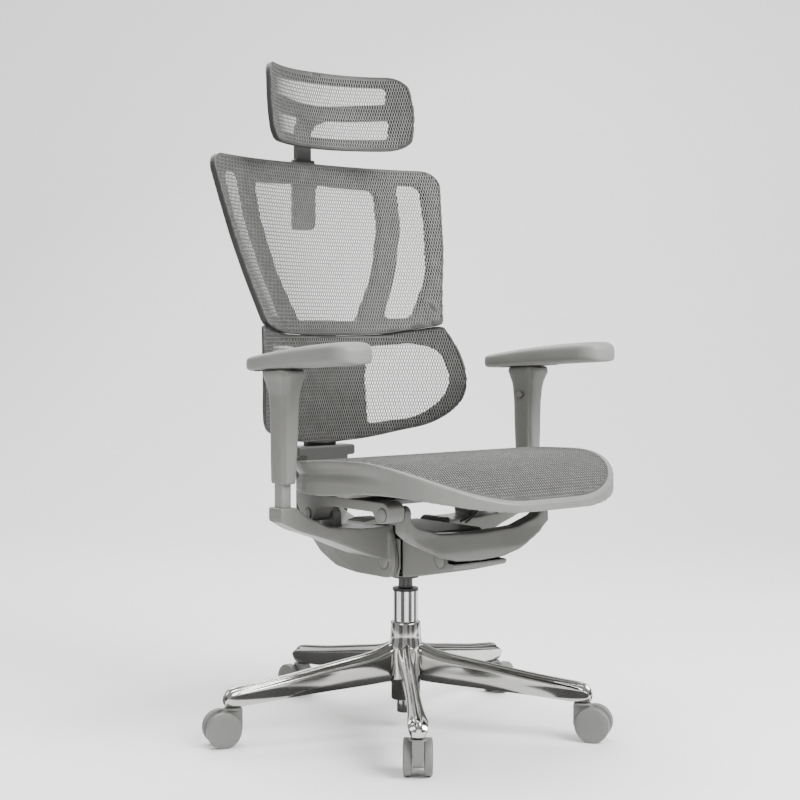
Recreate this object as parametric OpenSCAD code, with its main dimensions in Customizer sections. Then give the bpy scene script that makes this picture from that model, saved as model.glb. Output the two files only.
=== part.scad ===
// Ergonomic mesh task chair: five-star castor base, gas lift, synchro-tilt mechanism with a
// four-bar seat linkage, sliding mesh seat, split mesh back with lumbar pad, adjustable headrest
// and height-adjustable arms. Millimetres, +Z up, the sitter faces -Y, the origin is on the
// floor under the swivel axis. Heights below are measured from a drawing plane that lies
// floor_z under the floor; on_floor() takes every part down by that amount.

/* [Base and castors] */
// Radius of the circle on which the castor stems stand
leg_reach = 324; // [310:1:335]
// Height of the underside of each leg's end
leg_end_z = 81; // [80:0.5:84]
// Radius of a castor wheel
wheel_r = 31; // [29:0.5:31]
// Width of one castor wheel
wheel_w = 15.2; // [12:0.2:16]
// Distance from a castor's stem to its axle
castor_trail = 20; // [16:1:22]
// Radius of a castor stem
stem_r = 5.5; // [5:0.5:6]

/* [Gas lift] */
// Outer radius of the chromed column
column_r = 22; // [21:0.5:24]
// Radius of the gas cylinder
cylinder_r = 13; // [12:0.5:14]
// Radius of the piston rod
rod_r = 5; // [4:0.5:5.5]

/* [Linkage] */
// Main recline pivot, distance behind the swivel axis
main_pivot_y = -31; // [-34:1:-28]
// Main recline pivot, height
main_pivot_z = 330; // [328:1:332]
// Front yoke pivot, distance behind the swivel axis
yoke_pivot_y = -168; // [-170:1:-166]
// Front yoke pivot, height
yoke_pivot_z = 346; // [345:1:348]
// Rear seat pivot, distance behind the swivel axis
rear_seat_pivot_y = 20; // [18:1:22]
// Rear seat pivot, height
rear_seat_pivot_z = 420; // [419:1:421]
// Front seat pivot, distance behind the swivel axis
front_seat_pivot_y = -187; // [-189:1:-185]
// Front seat pivot, height
front_seat_pivot_z = 435; // [434:1:436]

/* [Seat] */
// Half the width of the seat
seat_half_w = 256; // [250:1:258]
// How far the seat reaches behind the swivel axis
seat_rear = 100; // [90:1:105]
// How far the seat reaches in front of the swivel axis
seat_front = 385; // [380:1:390]
// Height of the highest line across the seat
seat_crest_z = 525; // [522:1:528]
// Thickness of the woven mesh
mesh_t = 2.5; // [2:0.5:3]

/* [Back] */
// Depth of the back frame behind the mesh
back_frame_t = 9; // [8:1:12]
// Half the width of the upper back at the top
back_top_half = 272; // [268:1:276]
// Half the width of the upper back at the bottom
back_low_half = 208; // [204:1:212]
// Height of the upper back's top edge
back_top_z = 1062; // [1055:1:1066]
// Half the width of the lumbar pad
lumbar_half = 240; // [234:1:242]
// Half the width of the headrest
headrest_half = 171; // [168:1:174]

/* [Arms] */
// Distance of each arm post from the middle of the chair
arm_x = 287; // [286:1:290]
// Length of an arm pad
pad_l = 300; // [270:1:310]
// Width of an arm pad
pad_w = 94; // [85:1:96]
// Rake of the arm pads, front end up, in degrees
arm_rake = 2.9; // [2.9:0.1:2.9]
// Outward turn of the arm pads at rest, in degrees
pad_toe_out = 1.5; // [0:0.1:3]

/* [Hidden] */
SIDES = ["left", "right"];
$fn = 48;
BIG_FN = 240;

floor_z = 14;
fit = 0.05;
gap = 0.4;
grey = [0.66, 0.66, 0.63];
dark_grey = [0.36, 0.36, 0.34];
mesh_grey = [0.5, 0.5, 0.48];
steel = [0.75, 0.76, 0.78];
black = [0.12, 0.12, 0.12];

// Turn of each castor from pointing outward, starting at the rear leg.
castor_turn = [0, -1.5, 176, -3, 0];

hub_top = 212;
hub_low = 69;
tube_top = 267;
tube_floor = 52;
cylinder_low = 100;
cylinder_top = 345;
housing_x = 50;
cover_x = 61;
cheek_in = 64.6;
cheek_out = 76;
pivot_shaft_r = 8;
seat_pin_r = 6;
link_in = 150;
link_out = 166;
carriage_in = 168;
carriage_out = 204;
seat_side_low = 461;
seat_waist_low = 473;
seat_lip_low = 446;
rail_x = 120;
stem_half = 16;
stem_front = 311;
headrest_pivot = [300, 1150];
lumbar_guide = [20, 640];
arm_y = -23;
arm_top_z = 666;
swivel_plate_l = 130;
swivel_plate_w = 36;
pad_travel = 25;

// ---------- outlines ----------

function unit2(v) = v / norm(v);

// Points of a fillet of radius r at corner b, between the directions to a and c.
function fillet(a, b, c, r, n) =
    let (u = unit2(a - b), v = unit2(c - b), half = acos(max(-1, min(1, u * v))) / 2)
    let (d = r / tan(half), o = b + unit2(u + v) * r / sin(half))
    let (p = b + u * d - o, q = b + v * d - o)
    let (start = atan2(p.y, p.x), turn = atan2(q.y, q.x) - start)
    let (sweep = turn > 180 ? turn - 360 : turn < -180 ? turn + 360 : turn)
    [for (i = [0:n]) o + r * [cos(start + sweep * i / n), sin(start + sweep * i / n)]];

// An outline from corners [x, y, radius], with each corner rounded by its own radius.
function rounded(corners, n = 6) =
    let (m = len(corners))
    [for (i = [0:m - 1])
        let (a = corners[(i + m - 1) % m], b = corners[i], c = corners[(i + 1) % m])
        each (b[2] == undef || b[2] == 0 ? [[b.x, b.y]]
            : fillet([a.x, a.y], [b.x, b.y], [c.x, c.y], b[2], n))];

// Corners of the right-hand half, from the middle line round to it, made into a whole outline.
function mirrored(half) = concat(half, [for (i = [len(half) - 1:-1:0])
    if (abs(half[i].x) > 0.01) [-half[i].x, half[i].y, half[i][2]]]);

function rect(x0, y0, x1, y1, r) = [[x0, y0, r], [x1, y0, r], [x1, y1, r], [x0, y1, r]];

module outline(corners, n = 6) { polygon(rounded(corners, n)); }

// Extrudes a (y, z) profile along X.
module along_x(x0, x1) {
    translate([x0, 0, 0]) rotate([90, 0, 90]) linear_extrude(x1 - x0) children();
}

// Extrudes an (x, z) profile along Y.
module along_y(y0, y1) {
    translate([0, y1, 0]) rotate([90, 0, 0]) linear_extrude(y1 - y0) children();
}

module along_z(z0, z1) { translate([0, 0, z0]) linear_extrude(z1 - z0) children(); }

module pin_x(x0, x1, y, z, r) {
    translate([x0, y, z]) rotate([0, 90, 0]) cylinder(r = r, h = x1 - x0);
}

module both_sides() {
    children();
    mirror([1, 0, 0]) children();
}

module on_side(side) {
    if (side == "left") children();
    else mirror([1, 0, 0]) children();
}

module ring(r_in, r_out, z0, z1) {
    rotate_extrude() translate([r_in, z0]) square([r_out - r_in, z1 - z0]);
}

// ---------- base and castors ----------

leg_side = [[20, 176], [34, 176, 8], [66, 158, 30], [130, 147, 60], [205, 133, 60], [285, 122, 40],
    [341, 113, 20], [341, leg_end_z + 0.5, 3], [305, leg_end_z + 0.5, 8], [205, 90], [126, 96],
    [20, 104]];
leg_hollow = [[60, 60], [60, 142], [130, 137], [205, 123], [285, 112], [300, 108], [300, 60]];
leg_plan = [[0, -17], [60, -14, 30], [180, -12, 60], [300, -14, 30], [325, -17.2, 10],
    [342, -17.2, 13], [342, 17.2, 13], [325, 17.2, 10], [300, 14, 30], [180, 12, 60], [60, 14, 30],
    [0, 17]];

module base_leg() {
    intersection() {
        along_y(-20, 20) outline(leg_side);
        along_z(60, 190) outline(leg_plan, 4);
    }
}

module base_star() {
    color(steel) difference() {
        union() {
            rotate_extrude($fn = 72) polygon([[0, hub_low], [25.5, hub_low], [25.5, 101], [30, 104],
                [30, 168], [27.5, 180], [26.5, hub_top - 2], [24.5, hub_top], [0, hub_top]]);
            for (i = [0:4]) rotate([0, 0, 90 + 72 * i]) base_leg();
        }
        translate([0, 0, 60]) cylinder(r = column_r + fit, h = 160);
        for (i = [0:4]) rotate([0, 0, 90 + 72 * i]) {
            along_y(-8, 8) polygon(leg_hollow);
            translate([leg_reach, 0, 70]) cylinder(r = stem_r + fit, h = 35);
        }
    }
}

module castor_place(i) {
    rotate([0, 0, 90 + 72 * (i - 1)]) translate([leg_reach, 0, 0])
        rotate([0, 0, castor_turn[i - 1]]) children();
}

axle_z = floor_z + wheel_r;
fork_half = 9.4;
fork_side = [[-15.5, leg_end_z - 1, 2], [-15.5, 38, 10], [castor_trail - 6, 27, 10],
    [castor_trail + 13, 34, 12], [castor_trail + 12, 62, 10], [15.5, 75, 6],
    [15.5, leg_end_z - 1, 2]];

module castor_fork(i) {
    color(grey) castor_place(i) difference() {
        union() {
            along_y(-fork_half, fork_half) outline(fork_side);
            translate([0, 0, axle_z + wheel_r + 1.5])
                cylinder(r = 15.5, h = leg_end_z - axle_z - wheel_r - 2);
            translate([0, 0, 75]) cylinder(r = stem_r, h = 28);
        }
        translate([castor_trail, 20, axle_z]) rotate([90, 0, 0]) cylinder(r = 4 + fit, h = 40);
    }
}

module castor_wheels(i) {
    color([0.6, 0.6, 0.57]) castor_place(i) translate([castor_trail, 0, axle_z])
        rotate([90, 0, 0]) {
            translate([0, 0, -24]) cylinder(r = 4, h = 48);
            for (s = [0, 1]) mirror([0, 0, s]) translate([0, 0, fork_half + gap])
                rotate_extrude($fn = 72) polygon(rounded([[4 + fit, 0],
                    [wheel_r - 1, 0, 0.8], [wheel_r, 3, 2], [wheel_r, wheel_w - 4.5, 3],
                    [wheel_r - 5, wheel_w - 0.7, 4], [4 + fit, wheel_w]]));
        }
}

// ---------- gas lift ----------

module gas_lift_outer_tube() {
    color(steel) rotate_extrude($fn = 72) polygon([[rod_r + 0.06, tube_floor], [12, tube_floor],
        [12, 45], [15.5, 45], [15.5, 71], [column_r, 73], [column_r, tube_top],
        [18.5, tube_top], [18.5, 76], [12, 74], [12, 60], [rod_r + 0.06, 60]]);
}

module gas_lift_bushing() {
    color(black) {
        ring(cylinder_r + fit, 18.45, 240, tube_top);
        ring(cylinder_r + fit, column_r + 1.5, tube_top, tube_top + 5);
    }
}

module gas_lift_rod() {
    color(steel) rotate_extrude() polygon([[0, 46.5], [rod_r, 46.5], [rod_r, 48], [4.2, 48],
        [4.2, 50.5], [rod_r, 50.5], [rod_r, 66], [8, 66], [8, 69], [rod_r, 69], [rod_r, 240],
        [cylinder_r - 2.6, 240], [cylinder_r - 2.6, 250], [0, 250]]);
}

module gas_lift_clip() { color(black) ring(4.25, 8.5, 48.2, 50.2); }

module gas_lift_thrust_bearing() { color(steel) ring(rod_r + 0.06, 11, 60.3, 65.9); }

module gas_lift_cylinder() {
    color(black) rotate_extrude() polygon([[rod_r + 0.06, cylinder_low],
        [cylinder_r, cylinder_low], [cylinder_r, cylinder_top], [3.55, cylinder_top],
        [3.55, 332], [cylinder_r - 2.5, 332], [cylinder_r - 2.5, 112], [rod_r + 0.06, 112]]);
}

module gas_valve_pin() {
    color(steel) translate([0, 0, 333]) cylinder(r = 3.5, h = 18.5);
}

module valve_lever() {
    color(steel) difference() {
        union() {
            along_x(-5, 5) outline(rect(-42, 352, 8, 358, 2), 3);
            pin_x(-5, 5, -60, 355, 6);
            along_x(-5, 5) polygon([[-60, 352], [-40, 352], [-40, 358], [-60, 358]]);
        }
        pin_x(-6, 6, -60, 355, 3 + fit);
    }
}

// ---------- mechanism ----------

housing_side = [[-150, 328, 4], [-150, 392, 6], [34, 392, 6], [34, 303.5, 8], [-22, 303.5],
    [-42, 309.5], [-66, 320], [-120, 322]];
housing_cavity = [[-144, 334, 3], [-144, 386, 3], [28, 386, 3], [28, 309.5, 4], [-21, 309.5],
    [-39, 315], [-65, 326], [-119, 328]];
ear_side = [[-184, 346, 12], [-168, 368, 10], [-140, 372], [-140, 330], [-166, 333, 10]];

module mechanism_housing() {
    color(dark_grey) difference() {
        union() {
            difference() {
                along_x(-housing_x, housing_x) outline(housing_side);
                along_x(-housing_x + 6, housing_x - 6) outline(housing_cavity);
            }
            translate([0, 0, 291]) cylinder(r = 24, h = 55);
            both_sides() along_x(housing_x - 6, housing_x) outline(ear_side);
            pin_x(-44.5, 44.5, -60, 355, 3);
        }
        translate([0, 0, 280]) cylinder(r = cylinder_r + fit, h = 80);
        pin_x(-60, 60, main_pivot_y, main_pivot_z, pivot_shaft_r + fit);
        both_sides() pin_x(40, 60, yoke_pivot_y, yoke_pivot_z, pivot_shaft_r + fit);
    }
}

cover_side = [[-65, 304], [-65, 373, 2], [-128, 373, 8], [-160, 364, 12], [-184, 352, 5],
    [-185.5, 342.5, 1], [-203, 342.5, 3], [-204, 334, 6], [-120, 313, 30]];
cover_inside = [[-60, 308], [-60, 400], [-160, 400], [-200, 345], [-200, 337, 3],
    [-120, 316.5, 30]];

module mechanism_front_cover() {
    color(grey) difference() {
        along_x(-cover_x, cover_x) outline(cover_side);
        along_x(-cover_x + 3, cover_x - 3) outline(cover_inside);
        pin_x(-70, 70, yoke_pivot_y, yoke_pivot_z, pivot_shaft_r + fit);
    }
}

module main_pivot_shaft() {
    color(steel) pin_x(-cheek_out + 1, cheek_out - 1, main_pivot_y, main_pivot_z, pivot_shaft_r);
}

module front_pivot_shaft() {
    color(grey) {
        pin_x(-cover_x, cover_x, yoke_pivot_y, yoke_pivot_z, pivot_shaft_r);
        both_sides() pin_x(cover_x, cover_x + 2, yoke_pivot_y, yoke_pivot_z, 15);
    }
}

spring_turns = 5;
spring_steps = 14;
spring_wire = 1.7;
spring_coil_r = 11.5;

// One torsion spring on the main shaft, swept as a helix about X.
function spring_ring(k) =
    let (a = 360 * k / spring_steps, x = 26 + k * (16 / (spring_turns * spring_steps)))
    [for (j = [0:5]) let (b = 60 * j, r = spring_coil_r + spring_wire * cos(b))
        [x + spring_wire * sin(b), main_pivot_y + r * cos(a), main_pivot_z + r * sin(a)]];

module helix_spring() {
    rings = spring_turns * spring_steps;
    points = [for (k = [0:rings]) each spring_ring(k)];
    sides = [for (k = [0:rings - 1]) for (j = [0:5])
        let (p = k * 6, n = (j + 1) % 6) each [[p + j, p + 6 + j, p + n], [p + n, p + 6 + j, p + 6 + n]]];
    ends = [[0, 1, 2, 3, 4, 5], [for (j = [5:-1:0]) rings * 6 + j]];
    polyhedron(points, concat([for (s = sides) [s[2], s[1], s[0]]],
        [for (e = ends) [for (i = [5:-1:0]) e[i]]]));
}

module tilt_springs() { color(steel) both_sides() helix_spring(); }

// ---------- recline body ----------

cheek_side = [[-61, 330, 29.9], [-60, 301, 29], [40, 301, 20], [120, 330, 20], [120, 352, 10],
    [60, 372, 30], [34, 405, 12], [-30, 405, 12], [-44, 385, 10]];
cheek_path = [[-61, 301, 29], [50, 300, 20], [120, 326, 20], [120, 352, 10], [60, 368, 20],
    [30, 398, 8], [-36, 398, 12], [-50, 380, 10], [-61, 340, 20]];
tail_side = [[84, 322, 10], [160, 330, 30], [232, 362, 20], [258, 388, 10], [258, 425, 2],
    [238, 425, 2], [231, 394, 10], [150, 368, 30], [84, 366, 8]];
arm_beam = [[60, 330, 3], [110, 342, 20], [200, 378, 30], [262, 398, 20], [302, 417, 4],
    [302, 440, 1], [272, 440, 2], [254, 426, 12], [207, 402, 20], [130, 394, 10], [60, 394, 3]];
seat_link = [[-6, 380], [-6, 420, 10], [4, 434, 12], [34, 434, 12], [40, 412, 8], [30, 380]];

module back_lever() {
    color(grey) difference() {
        union() {
            both_sides() {
                along_x(cheek_in, cheek_out) outline(cheek_path);
                difference() {
                    along_y(-46, 34) outline(arm_beam);
                    along_z(300, 460) outline([[60, -60], [100, -60], [180, -46, 30], [310, -41, 4],
                        [310, -60], [400, -70], [400, -90], [60, -90]]);
                    along_z(300, 460) outline([[90, 60], [130, 40], [250, 16, 30], [310, -5, 4],
                        [310, 60], [200, 80]]);
                    along_y(-60, 60) polygon([[0, 320], [cheek_in, 320], [cheek_in, 410], [0, 410]]);
                }
                along_x(link_in, link_out) outline(seat_link);
                along_x(32, cheek_out) outline([[84, 322], [100, 322], [100, 352], [84, 352]]);
            }
            along_x(-34, 34) outline(tail_side);
        }
        both_sides() {
            pin_x(50, 90, main_pivot_y, main_pivot_z, pivot_shaft_r + fit);
            pin_x(140, 170, rear_seat_pivot_y, rear_seat_pivot_z, seat_pin_r + fit);
        }
    }
}

rear_cover_side = [[-62.5, 322], [-56, 303.2], [-13, 299, 20], [70, 298, 60], [130, 302, 60], [190, 322, 50],
    [250, 362, 20], [262, 384], [231, 384], [226, 372, 10], [150, 372], [104, 372, 4],
    [104, 356, 4], [60, 356, 10], [-20, 372, 10], [-62.5, 372]];
rear_cover_hollow = [[-70, 306], [-13, 302, 20], [70, 301, 60], [130, 305, 60], [188, 325, 50],
    [246, 364, 20], [262, 390], [228, 390], [222, 369, 10], [150, 369], [101, 369, 3],
    [101, 400], [-70, 400]];

module mechanism_rear_cover() {
    color(grey) difference() {
        intersection() {
            along_x(-64.4, 64.4) outline(rear_cover_side);
            along_z(280, 400) outline(mirrored([[0, -62.5, 0], [64.4, -62.5, 0], [64.4, 70, 60],
                [58, 150, 60], [46, 240, 20], [44, 262, 4], [0, 262, 0]]));
        }
        intersection() {
            along_x(-61.4, 61.4) outline(rear_cover_hollow);
            along_z(280, 420) outline(mirrored([[0, -70, 0], [61.4, -70, 0], [61.4, 70, 60],
                [55, 150, 60], [43, 240, 20], [41, 270, 0], [0, 270, 0]]));
        }
        along_z(280, 330) outline(rect(-28, -40, 28, 52, 10));
        along_z(366, 400) outline(rect(-34.4, 148, 34.4, 263, 0));
        both_sides() along_x(57, 80) outline([[82, 318], [102, 318], [102, 354], [82, 354]]);
        pin_x(-80, 80, main_pivot_y, main_pivot_z, pivot_shaft_r + 0.3);
    }
}

spine_front = 256;
spine_back = 268;
tail_pocket = [[228, 380], [230.9, 394], [237.9, 425.05], [258.05, 425.05], [258.05, 380]];

module back_upright() {
    color(dark_grey) difference() {
        union() {
            along_x(-50, 50) outline([[236, 386, 2], [236, 504, 2], [274, 504, 2], [274, 386, 8]]);
            along_y(236, 274) outline(rect(-67, 498, 67, 518, 4));
        }
        along_x(-34.05, 34.05) polygon(tail_pocket);
        along_z(430, 530) outline(rect(-35.3, spine_front - 0.3, 35.3, spine_back + 0.3, 0));
    }
}

// ---------- front yoke ----------

yoke_front = mirrored([[0, 344, 0], [52, 346, 20], [90, 356, 30], [140, 380, 40], [175, 408, 20],
    [192, 421, 6], [203, 421, 0], [203, 449, 0], [180, 449, 6], [164, 440, 8], [140, 412, 20],
    [90, 396, 40], [0, 392, 0]]);
yoke_side = [[-190, 340], [-206, 344, 4], [-208, 362, 8], [-202, 392, 20], [-200, 452],
    [-172, 452], [-172, 388, 10], [-190, 364, 8]];

module front_yoke() {
    color(grey) difference() {
        union() {
            difference() {
                intersection() {
                    along_y(-210, -170) outline(yoke_front);
                    along_x(-210, 210) outline(yoke_side);
                }
                both_sides() {
                    along_x(166, 210) polygon([[-215, 400], [-215, 460], [-160, 460], [-160, 400]]);
                }
            }
            both_sides() {
                pin_x(150, 165, front_seat_pivot_y, front_seat_pivot_z, 13);
                along_x(28, 42) outline([[-184, 346, 10], [-166, 330, 12], [-152, 344, 10],
                    [-176, 388], [-196, 388], [-192, 364]]);
            }
        }
        both_sides() {
            pin_x(140, 170, front_seat_pivot_y, front_seat_pivot_z, seat_pin_r + 0.6);
            pin_x(20, 45, yoke_pivot_y, yoke_pivot_z, pivot_shaft_r + fit);
        }
    }
}

// ---------- seat carriage ----------

carriage_side = [[54, 456, 2], [54, 436, 12], [34, 407, 12], [6, 407, 12], [-8, 432, 6],
    [-52, 438, 4], [-160, 438, 6], [-172, 421, 12], [-202, 421, 13], [-202, 449, 8], [-190, 456, 2]];

paddle_pin_r = 2;

// A lug that carries the hinge of the paddle starting at y0.
module paddle_lug(y0) {
    along_x(151, 159) outline([[y0 + 3, 413, 3], [y0 + 15, 413, 3], [y0 + 15, 447],
        [y0 + 3, 447]], 3);
}

module seat_carriage() {
    color(grey) difference() {
        union() {
            both_sides() {
                along_x(carriage_in, carriage_out) outline(carriage_side);
                along_x(150, carriage_in) polygon([[-158, 446], [-158, 456], [-62, 456], [-62, 446]]);
                along_x(rail_x - 10, rail_x + 10)
                    polygon([[-158, 446], [-158, 460.5], [40, 460.5], [40, 446]]);
            }
            along_x(-150, 150) polygon([[-158, 446], [-158, 456], [-62, 456], [-62, 446]]);
            both_sides() paddle_lug(-150);
            paddle_lug(-97);
        }
        both_sides() {
            pin_x(150, 210, rear_seat_pivot_y, rear_seat_pivot_z, seat_pin_r + fit);
            pin_x(150, 210, front_seat_pivot_y, front_seat_pivot_z, seat_pin_r + fit);
        }
        along_y(-160, -50) both_sides() translate([155, 418]) circle(r = paddle_pin_r + fit);
    }
}

module carriage_pivot_pins() {
    color(steel) both_sides() {
        pin_x(link_in, carriage_out - 4, rear_seat_pivot_y, rear_seat_pivot_z, seat_pin_r);
        pin_x(link_in, carriage_out + 1, front_seat_pivot_y, front_seat_pivot_z, seat_pin_r);
    }
}

// A paddle hinged along Y under the carriage, from y0 to y1 on the +X side.
module paddle(y0, y1) {
    difference() {
        along_y(y0, y1) outline([[160, 414, 2], [186, 416, 4], [210, 414, 3], [211, 421, 3],
            [190, 425, 6], [160, 424, 2]]);
        for (k = [0:4]) translate([192 + 4 * k, y0 - 1, 426]) rotate([-90, 0, 0])
            cylinder(r = 1.2, h = y1 - y0 + 2, $fn = 16);
    }
    along_y(y0 + 15.4, y1 - 4) outline([[150, 413.5, 2], [161, 414, 0], [161, 423, 0],
        [150, 422.5, 2]]);
    translate([155, y0 + 2, 418]) rotate([-90, 0, 0]) cylinder(r = paddle_pin_r, h = 20);
}

module seat_depth_lever() { color(grey) mirror([1, 0, 0]) paddle(-150, -100); }

module seat_height_lever() { color(grey) paddle(-150, -100); }

module tilt_lock_lever() { color(grey) paddle(-97, -60); }

// ---------- seat ----------

function seat_top(y) = y > -190 ? seat_crest_z - 25 * pow((y + 190) / 290, 2)
    : seat_crest_z - 65 * pow((-190 - y) / 195, 2);
function seat_low(y) = y > -60 ? seat_side_low
    : y > -230 ? seat_side_low + (seat_waist_low - seat_side_low) * pow(sin(90 * (-60 - y) / 170), 2)
    : seat_waist_low - (seat_waist_low - seat_lip_low) * pow((-230 - y) / 155, 2);

module seat_slab(top, low) {
    steps = 22;
    ys = [for (i = [0:steps]) -seat_front - 2 + (seat_rear + seat_front + 4) * i / steps];
    along_x(-seat_half_w - 1, seat_half_w + 1) polygon(concat(
        [for (y = ys) [y, seat_top(y) - top]],
        [for (i = [steps:-1:0]) [ys[i], low == undef ? seat_low(ys[i]) : seat_top(ys[i]) - low]]));
}

// The seat's plan outline, moved in by a distance.
module seat_plan(inset) {
    polygon(rounded([[seat_half_w - inset, seat_rear - inset, 165 - inset],
        [-seat_half_w + inset, seat_rear - inset, 165 - inset],
        [-seat_half_w + inset, -seat_front + inset, 200 - inset],
        [seat_half_w - inset, -seat_front + inset, 200 - inset]], 12));
}

module seat_frame() {
    color(grey) {
        difference() {
            intersection() {
                seat_slab(0);
                along_z(430, 540) difference() {
                    seat_plan(0);
                    seat_plan(32);
                }
            }
            seat_mesh_solid();
        }
        intersection() {
            along_z(430, 540) seat_plan(8);
            union() {
                for (y = [[-150, -120], [-20, 6]]) along_x(-250, 250)
                    polygon([[y[0], 462], [y[0], 474], [y[1], 474], [y[1], 462]]);
                both_sides() for (x = [rail_x - 18, rail_x + 10.4]) along_x(x, x + 7.6)
                    polygon([[-160, 457], [-160, 474], [44, 474], [44, 457]]);
            }
        }
    }
}

module seat_mesh_solid() {
    intersection() {
        seat_slab(0, mesh_t);
        along_z(430, 540) seat_plan(9);
    }
}

module seat_mesh() { color(mesh_grey) seat_mesh_solid(); }

// ---------- curved back panels ----------

// Distance behind the swivel axis of a panel's middle line at height z, and its bend radius.
function back_apex(z) = 235 + 60 * (z - 750) / 308;
function back_bend(z) = 262 + 255 * (z - 750) / 308;
function back_y(x, z) = back_apex(z) - back_bend(z) + sqrt(max(400, pow(back_bend(z), 2) - x * x));
function lumbar_y(x, z) = 229 + 6 * pow((z - 640) / 100, 2) - 281 + sqrt(281 * 281 - x * x);
function headrest_y(x, z) = 266 - 14 * pow((z - 1170) / 70, 2) * (z < 1170 ? 0.6 : 0)
    + 0.06 * (z - 1170) - 205 + sqrt(205 * 205 - x * x);
function panel_y(kind, x, z) = kind == "back" ? back_y(x, z)
    : kind == "lumbar" ? lumbar_y(x, z) : headrest_y(x, z);

// A solid between two copies of a panel's surface, moved back by t0 and t1.
module panel(kind, half, z0, z1, t0, t1, nx, nz) {
    xs = [for (i = [0:nx]) -half + 2 * half * i / nx];
    zs = [for (j = [0:nz]) z0 + (z1 - z0) * j / nz];
    row = nx + 1;
    sheet = row * (nz + 1);
    points = [for (t = [t0, t1]) for (z = zs) for (x = xs) [x, panel_y(kind, x, z) + t, z]];
    faces = concat(
        [for (j = [0:nz - 1]) for (i = [0:nx - 1]) let (p = j * row + i)
            each [[p, p + 1, p + row], [p + 1, p + row + 1, p + row]]],
        [for (j = [0:nz - 1]) for (i = [0:nx - 1]) let (p = sheet + j * row + i)
            each [[p, p + row, p + 1], [p + 1, p + row, p + row + 1]]],
        [for (j = [0:nz - 1]) let (p = j * row, q = j * row + nx)
            each [[p, p + row, sheet + p], [p + row, sheet + p + row, sheet + p],
                [q, sheet + q, q + row], [q + row, sheet + q, sheet + q + row]]],
        [for (i = [0:nx - 1]) let (p = i, q = nz * row + i)
            each [[p, sheet + p, p + 1], [p + 1, sheet + p, sheet + p + 1],
                [q, q + 1, sheet + q], [q + 1, sheet + q + 1, sheet + q]]]);
    polyhedron(points, [for (f = faces) [f[2], f[1], f[0]]]);
}

back_outline = mirrored([[0, 730, 0], [120, 734, 200], [back_low_half, 751, 14],
    [246, 900, 600], [back_top_half, back_top_z, 30], [0, back_top_z + 4, 0]]);
back_window = mirrored([[0, 758, 0], [72, 759, 12], [118, 850, 160], [144, 950, 120],
    [146, 1020, 14], [0, 1024, 0]]);
back_side_window = [[120, 763, 8], [172, 765, 22], [214, 850, 120], [231, 950, 200],
    [237, 1030, 16], [187, 1034, 12], [183, 950, 120], [156, 850, 160]];

module back_panel(t0, t1) { panel("back", 285, 722, 1074, t0, t1, 24, 8); }

module upper_back_frame() {
    color(dark_grey) intersection() {
        union() {
            back_panel(mesh_t, mesh_t + back_frame_t);
            difference() {
                back_panel(mesh_t + back_frame_t / 2, mesh_t + 2 * back_frame_t);
                along_y(60, 360) outline(rect(-50, 700, 50, 1100, 0));
            }
        }
        along_y(60, 340) difference() {
            outline(back_outline);
            outline(back_window);
            outline(back_side_window);
            mirror([1, 0]) outline(back_side_window);
        }
    }
}

module upper_back_mesh() {
    color(mesh_grey) intersection() {
        back_panel(0, mesh_t);
        along_y(60, 340) outline(back_outline);
    }
}

lumbar_outline = mirrored([[0, 523, 0], [90, 530, 400], [196, 556, 85], [232, 592, 80],
    [lumbar_half, 645, 165], [230, 704, 240], [213, 749.5, 8], [120, 732.5, 200], [0, 728.5, 0]]);
lumbar_window = [[88, 558, 8], [176, 570, 60], [212, 606, 70], [221, 645, 80], [208, 704, 34],
    [166, 715, 60], [84, 708, 6], [80, 640, 100]];

module lumbar_panel(t0, t1) { panel("lumbar", 250, 512, 756, t0, t1, 26, 6); }

module lumbar_guides(r, y0, y1) {
    both_sides() translate([lumbar_guide.x, y0, lumbar_guide.y]) rotate([-90, 0, 0])
        cylinder(r = r, h = y1 - y0);
}

module lumbar_frame() {
    color(dark_grey) difference() {
        intersection() {
            lumbar_panel(mesh_t, mesh_t + 8);
            along_y(60, 340) difference() {
                outline(lumbar_outline);
                outline(lumbar_window);
                mirror([1, 0]) outline(lumbar_window);
            }
        }
        lumbar_guides(4 + fit, 232, 260);
    }
}

module lumbar_mesh() {
    color(mesh_grey) intersection() {
        lumbar_panel(0, mesh_t);
        along_y(60, 340) outline(lumbar_outline);
    }
}

// Two pins that let the lumbar pad give backward through the spine.
module lumbar_guide_pins() {
    color(steel) {
        lumbar_guides(4, 232.2, spine_back + 1);
        lumbar_guides(7, spine_back + 0.4, spine_back + 3);
    }
}

module back_spine() {
    color(dark_grey) difference() {
        along_x(-35, 35) outline([[spine_front, 436, 2], [spine_front, 731, 2], [244, 735],
            [244, 756, 2], [262, 761, 8], [278, 756, 6], [278, 735, 8], [spine_back, 700],
            [spine_back, 436, 2]]);
        panel("back", 285, 700, 1074, -60, mesh_t + back_frame_t + 0.3, 24, 8);
        lumbar_guides(4 + fit, 250, 275);
    }
}

// ---------- headrest ----------

module headrest_bracket() {
    color(dark_grey) difference() {
        along_y(270, 331) outline([[-23, 1074, 2], [23, 1074, 2], [23, 938, 12], [-23, 938, 12]]);
        both_sides() along_z(900, 1100) polygon([[23.1, 317], [17.5, 332], [40, 332], [40, 317]]);
        along_x(-30, 30) polygon([[260, 900], [260, 1020], [306, 1020], [306, 900]]);
        along_z(956, 1100) outline(rect(-stem_half - 0.3, stem_front - 0.3, stem_half + 0.3, 325.3, 0));
        panel("back", 285, 900, 1090, -80, mesh_t + back_frame_t + 0.3, 24, 5);
    }
}

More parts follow.
